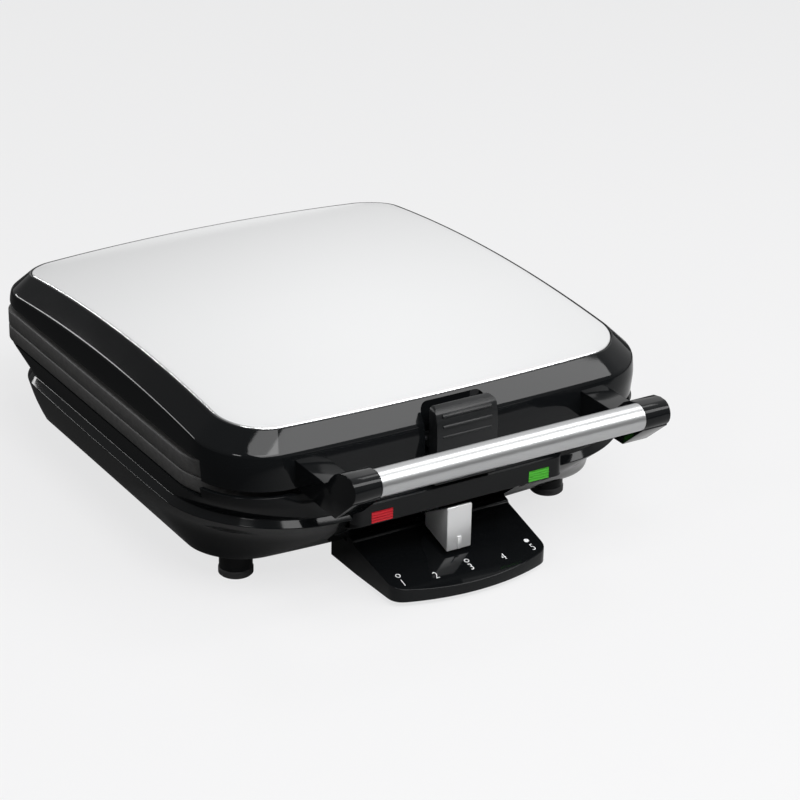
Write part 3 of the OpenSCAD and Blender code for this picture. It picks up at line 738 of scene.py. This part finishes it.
def lid():
    shell = ring_mesh("lid", lid_rings())
    combine(shell, side_notches(50, LID_SIDE), "DIFFERENCE")
    combine(shell, [latch_pad()], "UNION")
    combine(shell, [latch_pocket()], "DIFFERENCE")
    web = [(-5.4, 1), (-9, 2.5), (-9, 16), (-6, 16), (5.2, 2), (3.6, 3.2), (0, 4.6), (-3.6, 3.2)]
    lugs = []
    for side in LEFT_AND_RIGHT:
        lugs += hinge_lug(*span(side, *LID_LUG), LID_LUG_BORE, web)
    take_in(shell, lugs)
    piece(shell, "lid_shell", "lid", "gloss_black", "lid_housing")


def cover():
    """The steel cover: out along its underside, up round its edge, and back over its top."""
    under = COVER_EDGE - COVER_SKIN
    rings = [domed(COVER, under, scale) for scale in (0.04, 0.25, 0.5, 0.75, 0.9, 0.96)]
    rings.append(domed(grow(COVER, -1.6), under))
    rings.append(domed(grow(COVER, -1.1), COVER_EDGE - COVER_LIP))
    rings.append(domed(COVER, COVER_EDGE - COVER_LIP))
    for angle in range(0, 91, 15):
        out = COVER_ROUND * math.cos(math.radians(angle))
        up = COVER_ROUND * math.sin(math.radians(angle))
        rings.append(domed(grow(COVER, -COVER_ROUND + out), COVER_EDGE - COVER_ROUND + up))
    scales = (0.97, 0.93, 0.87, 0.8, 0.72, 0.64, 0.55, 0.46, 0.37, 0.28, 0.19, 0.11, 0.04)
    rings += [domed(COVER, COVER_EDGE, scale) for scale in scales]
    top = COVER_EDGE + CROWN + SIDE_CROWN
    skin = ring_mesh("cover", rings, (top - COVER_SKIN, top))
    piece(skin, "steel_cover", "lid", "cover_steel", "top_cover")


# ---- Base ----

LEVER_SLOT_HALF = 43.5
LEVER_SLOT_Y = (-136, -109)
LEVER_SLOT_Z = (20.9, 37.8)
CORD_Y = (101, 118)
CORD_Z = 31.3
CORD_BOSS_RADIUS = 11
CORD_BORE = 6.5
BASE_LUG_STARTS = (44.6, 73.4)
BASE_LUG_WIDTH = 8
BASE_LUG_BORE = 2.5
KEEPER_HALF = 13

PLATE_EDGE = 0.9
MERGE_DISTANCE = 0.002
FLAT_ANGLE = math.radians(0.5)


def base_rings():
    """The base casing in section: up the outside and down the inside."""
    return filleted([
        (level(FOOT, BASE_BOTTOM), 1.2),
        (level(CHIN, CHIN_Z), 5),
        (level(BELLY, BELLY_Z), 6),
        (level(WIDE, BASE_EDGE - 0.5), 0.5),
        (level(LEDGE, BASE_EDGE + 3.0), 0.5),
        (level(ABOVE, LOWER_FLANGE - 0.3), 2),
        (level(RIM, BASE_RIM), 0.6),
        (level(grow(RIM, -WALL), BASE_RIM), 0.3),
        (level(grow(ABOVE, -WALL), LOWER_FLANGE - 0.3), 0),
        (level(grow(LEDGE, -WALL), BASE_EDGE + 2.5), 0),
        (level(grow(WIDE, -WALL - 0.8), BASE_EDGE - 1), 0),
        (level(grow(BELLY, -WALL), BELLY_Z + 1), 0),
        (level(grow(CHIN, -WALL), CHIN_Z + 1), 0),
        (level(grow(FOOT, -WALL), BASE_BOTTOM), 0.3),
    ])


def base():
    shell = ring_mesh("base", base_rings())
    combine(shell, side_notches(LOWER_FLANGE - 0.05, 80), "DIFFERENCE")
    lever_slot = block("slot", -LEVER_SLOT_HALF, LEVER_SLOT_HALF, *LEVER_SLOT_Y, *LEVER_SLOT_Z)
    combine(shell, [lever_slot], "DIFFERENCE")
    start, end = ((0, y, CORD_Z) for y in CORD_Y)
    extras = [tube("cord_boss", start, end, CORD_BOSS_RADIUS, CORD_BORE, edge=0.5)]
    web = [(-9, -15), (-5, -14), (5.2, -2), (3.6, -3.2), (0, -4.6), (-3.6, -3.4), (-9, -3)]
    for side in LEFT_AND_RIGHT:
        for near in BASE_LUG_STARTS:
            extras += hinge_lug(*span(side, near, near + BASE_LUG_WIDTH), BASE_LUG_BORE, web)
    keeper = [(-139.5, 60.1), (-145.6, 60.9), (-145.6, 62.5), (-139.5, 64.7)]
    extras.append(prism_x("keeper", keeper, -KEEPER_HALF, KEEPER_HALF))
    take_in(shell, extras)
    piece(shell, "base_shell", "base", "gloss_black", "base_housing")


def plates():
    """The cast plates with their edges eased."""
    for node, body in (("lower_plate", "base"), ("upper_plate", "lid")):
        mesh = NODES[node].data.copy()
        bm = bmesh.new()
        bm.from_mesh(mesh)
        bmesh.ops.remove_doubles(bm, verts=bm.verts[:], dist=MERGE_DISTANCE * MM)
        bmesh.ops.dissolve_limit(bm, angle_limit=FLAT_ANGLE, verts=bm.verts[:], edges=bm.edges[:])
        bm.to_mesh(mesh)
        bm.free()
        name = node + "_eased"
        o = in_scene(name, mesh)
        o.matrix_world = NODES[node].matrix_world.copy()
        bevelled(o, PLATE_EDGE, 2, 50, clamp=False)
        piece(o, name, body, "cast_plate", node)


# ---- Fascia, console and knob ----

FASCIA_HALF = 61.9
FASCIA_FRONT = -146.9
FASCIA_CORNER = 5
CHEEK_X = (47.2, 70)

LENS_X = 46.25
LENS_HALF = 6.05
LENS_LOW = 44.1
LENS_HEIGHT = 5.8
LENS_FRONT = -147.2
LENS_BACK = -140.2
LENS_GAP = 0.05
FLUTES = 8
FLUTE_DEPTH = 0.45

# The console's sides draw in toward an arc at its front.
CONSOLE_HALF = 46.8
CONSOLE_REAR = -98.4
SCALE_REAR_Y = -123
ARC_HALF = 45.6
ARC_RADIUS = 118
ARC_CENTRE_Y = -49.4
ARC_STEPS = 16

# The scale's face: its height at the rear edge, and how much it falls per millimetre toward the front.
SCALE_REAR_Z = 18.6
SCALE_FALL = 0.223

# The middle of the rounded step behind the face, its radius, and the ledge it leads up to.
STEP_Y = -122
STEP_Z = SCALE_REAR_Z + 2.4
STEP_RADIUS = 2.1
LEDGE_Z = SCALE_REAR_Z + 3.1

# How far the numbers, the rings and the dot stand above the scale's face.
NUMBER_LIFT = 0.04
SPOT_LIFT = 0.01

NUMBER_SIZE = 5.4
NUMBER_STRETCH = 1.28
NUMBER_THINNER = 0.07
NUMBER_THICKNESS = 0.03
SPOT_RADIUS = 1.35
SPOT_THICKNESS = 0.06

KNOB_HALF = 7.25
POINTER_HALF = 1.2


def lens_window(side):
    """The cut in the fascia for a lens."""
    low = LENS_LOW - LENS_GAP
    top = LENS_LOW + LENS_HEIGHT + LENS_GAP
    reach = LENS_HALF + LENS_GAP
    return block("lens", side * LENS_X - reach, side * LENS_X + reach, -150, -138, low, top)


def cheek(side):
    """The part of the fascia that runs back and down beside the console."""
    o = prism_z("cheek", round_front(FASCIA_HALF, FASCIA_FRONT, -110, FASCIA_CORNER), 20, 44.4)
    profile = [(-147.2, 44.4), (-133, 44.4), (-120, 36), (-113, 28), (-118, 27.4), (-127, 30.6)]
    combine(o, [prism_x("wedge", profile, *span(side, *CHEEK_X))], "INTERSECT")
    return bevelled(o, 0.8, 3)


def fascia():
    strip = prism_z("fascia", round_front(FASCIA_HALF, FASCIA_FRONT, -120, FASCIA_CORNER), 20, 70)
    profile = [(-147.2, 43.4), (-147.2, 53.7), (-146.2, 54.5), (-138, 55.5), (-130, 55.5), (-130, 38),
               (-134.5, 38.8)]
    combine(strip, [prism_x("visor", profile, -70, 70)], "INTERSECT")
    bevelled(strip, 1.0, 4)
    combine(strip, [lens_window(side) for side in LEFT_AND_RIGHT], "DIFFERENCE")
    take_in(strip, [cheek(side) for side in LEFT_AND_RIGHT])
    piece(strip, "front_fascia", "base", "gloss_black", "fascia")


def lens(side, name, node):
    """A lens with a fluted front. Its node and its material share a name."""
    top = LENS_LOW + LENS_HEIGHT
    profile = [(LENS_BACK, top), (LENS_BACK, LENS_LOW)]
    for k in range(FLUTES + 1):
        profile.append((LENS_FRONT + FLUTE_DEPTH * (k % 2), LENS_LOW + LENS_HEIGHT * k / FLUTES))
    middle = side * LENS_X
    o = prism_x("lens", profile, middle - LENS_HALF, middle + LENS_HALF, sharp=20)
    piece(o, name, "base", node, node)


def scale_z(y):
    """The height of the scale's face."""
    return SCALE_REAR_Z + SCALE_FALL * (y - SCALE_REAR_Y)


def console_outline():
    """The console from above. The points left and right stand in it twice."""
    widest = math.asin(ARC_HALF / ARC_RADIUS)
    arc = []
    for i in range(-ARC_STEPS, ARC_STEPS + 1):
        a = widest * i / ARC_STEPS
        arc.append((ARC_RADIUS * math.sin(a), ARC_CENTRE_Y - ARC_RADIUS * math.cos(a)))
    left, right = ((x, SCALE_REAR_Y) for x in (-CONSOLE_HALF, CONSOLE_HALF))
    front = softened([left, *arc, right], (1, len(arc)), 6)
    return [(-CONSOLE_HALF, CONSOLE_REAR), left, *front, right, (CONSOLE_HALF, CONSOLE_REAR)]


def console_top():
    """The console in section: the scale's sloping face and, behind it, a rounded step up to a ledge."""
    step = []
    for angle in range(12, 79, 11):
        a = math.radians(angle)
        step.append((STEP_Y + STEP_RADIUS * math.sin(a), STEP_Z - STEP_RADIUS * math.cos(a)))
    ledge = [(-119.4, SCALE_REAR_Z + 2.3), (-116.5, LEDGE_Z), (-90, LEDGE_Z)]
    profile = [(-90, 3), (-180, 3), (-180, scale_z(-180)), (SCALE_REAR_Y, SCALE_REAR_Z), *step, *ledge]
    return prism_x("top", profile, -60, 60)


def console():
    body = prism_z("console", console_outline(), 3, 40)
    combine(body, [console_top()], "INTERSECT")
    combine(body, [block("under", -60, 60, -114, -90, 17.75, 60)], "DIFFERENCE")
    bevelled(body, 1.5, 4, 35)
    piece(body, "console_shell", "base", "gloss_black", "control_console")


def scale_point(x, y, lift):
    """A point this far above the scale's face."""
    return Vector((x, y, scale_z(y) + lift))


def printed(o):
    """Makes an object a printed mark on the base."""
    cover_with(o, "scale_print")
    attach(o, "base")


def scale_number(digit, x, y):
    """A plain number that lies on the scale's face."""
    curve = bpy.data.curves.new("digit", "FONT")
    curve.body = digit
    curve.size = NUMBER_SIZE * MM
    curve.offset = -NUMBER_THINNER * MM
    curve.extrude = NUMBER_THICKNESS * MM
    curve.align_x = "CENTER"
    curve.align_y = "CENTER"
    text = in_scene("digit", curve)
    tilt = Matrix.Rotation(math.atan(SCALE_FALL), 4, "X")
    taller = Matrix.Diagonal((1, NUMBER_STRETCH, 1, 1))
    text.matrix_world = Matrix.Translation(scale_point(x, y, NUMBER_LIFT) * MM) @ tilt @ taller
    mesh = evaluated_mesh(text)
    mesh.transform(text.matrix_world)
    bpy.data.objects.remove(text)
    printed(in_scene("scale_number_" + digit, mesh))


def scale_spot(name, x, y, bore):
    """A printed dot, or a ring where it has a bore."""
    normal = Vector((0, -SCALE_FALL, 1)).normalized()
    start = scale_point(x, y, SPOT_LIFT)
    printed(tube(name, start, start + normal * SPOT_THICKNESS, SPOT_RADIUS, bore, 32))


def scale_marks():
    scale_number("1", -38.6, -155.5)
    scale_number("2", -20.1, -156.5)
    scale_number("3", 0.3, -157.2)
    scale_number("4", 20.1, -156.5)
    scale_number("5", 38.6, -155.5)
    scale_spot("scale_ring_low", -38.3, -149.8, 1.0)
    scale_spot("scale_dot_high", 38.3, -149.8, 0)
    scale_spot("scale_ring_middle", 0.6, -152.2, 1.0)


def knob():
    profile = [(-145.7, 15.9), (-145.7, 39.9), (-144.9, 40.5), (-126, 29.7), (-124.7, 28.5), (-124.7, 22.3),
               (-125.4, 21.5)]
    body = bevelled(prism_x("knob", profile, -KNOB_HALF, KNOB_HALF), 0.5)
    ridge = [(-146.4, 16.3), (-146.4, 23.3), (-145, 23.3), (-145, 16.3)]
    pointer = prism_x("pointer", ridge, -POINTER_HALF, POINTER_HALF)
    take_in(body, [bevelled(pointer, 0.35, 2)])
    piece(body, "knob_shell", "control", "knob_silver", "control_knob")


# ---- Handle and latch ----

ARM_LOW = BAR_Z - 19.7
ARM_TOP = BAR_Z - 5.3
ARM_SPAN = (75.5, 90.5)

LATCH_HALF = 17.7
LUG_START = 8
RIB_HALF = 14.3


def arm(side, name, node):
    """An arm that runs forward, rises in a curve and ends round the bar."""
    profile = [(-133, ARM_LOW), (-133, ARM_TOP), (-166.5, ARM_TOP), (-169.2, ARM_TOP + 1.7),
               (-171.6, ARM_TOP + 4.8), (-175.2, ARM_TOP + 8.3), (-180.2, ARM_TOP + 11.1),
               (-185.5, ARM_TOP + 12.2), (-189, ARM_TOP + 12)]
    for i in range(11):
        a = math.radians(75 - i * 12.5)
        profile.append((BAR_Y - BAR_RADIUS * math.cos(a), BAR_Z + BAR_RADIUS * math.sin(a)))
    profile += [(BAR_Y - 4.6, BAR_Z - 5.9), (BAR_Y + 11.2, ARM_LOW)]
    o = prism_x("arm", profile, *span(side, *ARM_SPAN))
    bevelled(o, 1.2, 4, 28)
    piece(o, name, "lid", "gloss_black", node)


def latch_rib(z, back):
    """A grip rib; back is how far it sits behind the lower ones."""
    profile = [(-147.6, z + 1.3), (-150.2 + back, z + 0.8), (-151 + back, z - 0.4), (-149, z - 1.4)]
    return bevelled(prism_x("rib", profile, -RIB_HALF, RIB_HALF), 0.35, 3, 20)


def latch_lug(side):
    """One of the two lugs that take the latch's pin."""
    profile = [(-143, 75.3), (-139.5, 75.9), (-136.9, 77.1), (-136.9, 81.5), (-139.5, 82.7), (-143, 83.3)]
    return prism_x("lug", profile, *span(side, LUG_START, LATCH_HALF))


def latch():
    """A grip with a hook at its lower end."""
    grip = [(-142.3, 97.5), (-143.5, 98), (-146.5, 97.3), (-148.6, 94.9), (-149.8, 90.3), (-150.4, 83.3),
            (-150.4, 63.3), (-149.6, 57.3)]
    hook = [(-145.2, 57.3), (-143.2, 57.9), (-143.2, 59.5), (-146.6, 59.7), (-146.6, 65.1), (-143.6, 68.3),
            (-142.6, 71.3)]
    body = prism_x("latch", grip + hook, -LATCH_HALF, LATCH_HALF)
    rounded = prism_y("round", round_top(LATCH_HALF, 40, 98.1, 3.2), -160, -130)
    combine(body, [rounded], "INTERSECT")
    bevelled(body, 0.7, 3, 28)
    ribs = [latch_rib(z, back) for z, back in ((93.9, 0.8), (88.5, 0), (83.1, 0))]
    take_in(body, ribs + [latch_lug(side) for side in LEFT_AND_RIGHT])
    piece(body, "latch_shell", "latch", "satin_black", "latch")


# ---- Camera, floor and light; lengths are in metres ----

AZIMUTH, ELEVATION, ROLL = map(math.radians, (-31.97, 24.70, 1.22))
CAMERA_PLACE = (-0.6507, -1.1294, 0.6399)
FOCAL_LENGTH = 119.13
SENSOR_WIDTH = 36

# The floor shows one even colour to the camera. In reflections its colour is a painted pool of light:
# lighter near one spot and darker away from it.
# GLOW_SEEN and GLOW_MIRRORED are the share of its own glow in each case.
FLOOR_HALF = 8
FLOOR_COLOUR = (0.33, 0.33, 0.333, 1)
PAINTED_POOL_CENTRE = (0.3, -0.25, 0)
PAINTED_POOL_FADE = ((0.34, 0.5), (0.5, 0.05))
GLOW_COLOUR = (1.0, 1.0, 1.005, 1)
GLOW_STRENGTH = 1.185
GLOW_SEEN = 0.62
GLOW_MIRRORED = 0.02

# Brightness of what the object mirrors, from the left (0) to the right (1).
SIDE_STOPS = ((0.0, 0.3), (0.4, 0.32), (0.65, 0.95), (0.74, 1.25), (0.83, 0.95), (1.0, 0.85))


def camera():
    back = Vector((math.sin(AZIMUTH) * math.cos(ELEVATION), -math.cos(AZIMUTH) * math.cos(ELEVATION),
                   math.sin(ELEVATION)))
    level_right = Vector((math.cos(AZIMUTH), math.sin(AZIMUTH), 0))
    level_up = back.cross(level_right)
    right = math.cos(ROLL) * level_right + math.sin(ROLL) * level_up
    up = -math.sin(ROLL) * level_right + math.cos(ROLL) * level_up
    o = in_scene("camera", bpy.data.cameras.new("camera"))
    o.data.sensor_width = SENSOR_WIDTH
    o.data.lens = FOCAL_LENGTH
    o.data.clip_end = 50
    o.matrix_world = Matrix.Translation(CAMERA_PLACE) @ Matrix((right, up, back)).transposed().to_4x4()
    bpy.context.scene.camera = o
    bpy.context.scene.view_settings.view_transform = "Standard"


def floor_colour_with_painted_pool(m, path):
    where = add(m, "ShaderNodeTexCoord")
    shift = add(m, "ShaderNodeVectorMath", "SUBTRACT")
    shift.inputs[1].default_value = PAINTED_POOL_CENTRE
    link(m, where, "Object", shift, 0)
    reach = add(m, "ShaderNodeVectorMath", "LENGTH")
    link(m, shift, "Vector", reach, "Vector")
    # Away from the camera the floor's colour is a painted pool of light, lighter near one spot and darker
    # away from it.
    painted_pool = grey_ramp(m, PAINTED_POOL_FADE)
    link(m, reach, "Value", painted_pool, "Fac")
    even = add(m, "ShaderNodeMixRGB", Color2=FLOOR_COLOUR)
    link(m, path, "Is Camera Ray", even, "Fac")
    link(m, painted_pool, "Color", even, "Color1")
    return even


def floor():
    bm = bmesh.new()
    bmesh.ops.create_grid(bm, x_segments=1, y_segments=1, size=FLOOR_HALF)
    o = new_object("floor", bm)
    m = bpy.data.materials.new("floor")
    m.use_nodes = True
    m.node_tree.nodes.clear()
    path = add(m, "ShaderNodeLightPath")
    diffuse = add(m, "ShaderNodeBsdfDiffuse")
    link(m, floor_colour_with_painted_pool(m, path), "Color", diffuse, "Color")
    glow = add(m, "ShaderNodeEmission", Color=GLOW_COLOUR, Strength=GLOW_STRENGTH)
    seen = compute(m, "MULTIPLY", (path, "Is Camera Ray"), GLOW_SEEN)
    mirrored = compute(m, "MULTIPLY", (path, "Is Glossy Ray"), GLOW_MIRRORED)
    share = compute(m, "ADD", (seen, 0), (mirrored, 0))
    out = add(m, "ShaderNodeOutputMaterial")
    link(m, mixed(m, share, 0, diffuse, glow), 0, out, "Surface")
    o.data.materials.append(m)


def mirrored_strength(w):
    """Brightness of a direction, by how far it points to the right, up and back."""
    where = add(w, "ShaderNodeTexCoord")
    split = add(w, "ShaderNodeSeparateXYZ")
    link(w, where, "Generated", split, "Vector")
    across = spread(w, split, "X", (-1, 1), (0, 1))
    side = grey_ramp(w, SIDE_STOPS)
    link(w, across, "Result", side, "Fac")
    height = spread(w, split, "Z", (0.1, 0.42), (0.8, 1.1))
    depth = spread(w, split, "Y", (-0.6, -0.05), (0.45, 1.0))
    walls = compute(w, "MULTIPLY", (side, "Color"), (height, "Result"))
    return compute(w, "MULTIPLY", (walls, 0), (depth, "Result"))


def world():
    """A plain backdrop for the camera, bright walls to be mirrored, and soft light for the rest."""
    w = bpy.data.worlds.new("studio")
    bpy.context.scene.world = w
    w.use_nodes = True
    w.node_tree.nodes.clear()
    glossy = add(w, "ShaderNodeBackground")
    link(w, mirrored_strength(w), 0, glossy, "Strength")
    soft = add(w, "ShaderNodeBackground", Color=(0.9, 0.9, 0.9, 1), Strength=0.32)
    plain = add(w, "ShaderNodeBackground", Color=(0.895, 0.895, 0.90, 1), Strength=1.0)
    path = add(w, "ShaderNodeLightPath")
    either = compute(w, "MAXIMUM", (path, "Is Glossy Ray"), (path, "Is Transmission Ray"))
    unseen = mixed(w, either, 0, soft, glossy)
    out = add(w, "ShaderNodeOutputWorld")
    link(w, mixed(w, path, "Is Camera Ray", unseen, plain), 0, out, "Surface")


def lamp(name, place, target, width, height, power):
    data = bpy.data.lights.new(name, "AREA")
    data.shape = "RECTANGLE"
    data.size = width
    data.size_y = height
    data.energy = power
    o = in_scene(name, data)
    o.location = place
    o.rotation_mode = "QUATERNION"
    o.rotation_quaternion = (Vector(target) - Vector(place)).to_track_quat("-Z", "Y")
    o.visible_camera = False


def lamps():
    lamp("key", (0.5, -1.06, 1.14), (0.5, -0.1, 0.08), 2.15, 0.5, 26.6)
    lamp("strip", (-0.85, 1.3, 0.40), (0, 0, 0.07), 0.9, 0.1, 3.6)
    lamp("overhead", (0.67, 0.04, 1.28), (0, -0.1, 0.08), 0.42, 0.42, 2.4)
    lamp("fill", (-0.27, -0.78, 1.35), (-0.25, -0.12, 0.06), 0.72, 0.5, 8.0)
    lamp("corner", (-1.0, -0.62, 0.85), (-0.1, -0.1, 0.08), 0.22, 0.22, 2.2)


# ---- The scene ----

for make in (gloss_black, satin_black, cover_steel, bar_steel, cast_plate, knob_silver, screw_steel,
             dark_steel, reflector_sheet, element_sheath, ceramic, fuse_metal, foot_rubber,
             red_lens, green_lens, lamp_glass, scale_print):
    make()
dress_solids()

lid()
cover()
base()
plates()
fascia()
lens(-1, "left_lens", "red_lens")
lens(1, "right_lens", "green_lens")
console()
scale_marks()
knob()
arm(-1, "left_arm_shell", "left_handle_arm")
arm(1, "right_arm_shell", "right_handle_arm")
latch()

camera()
floor()
world()
lamps()
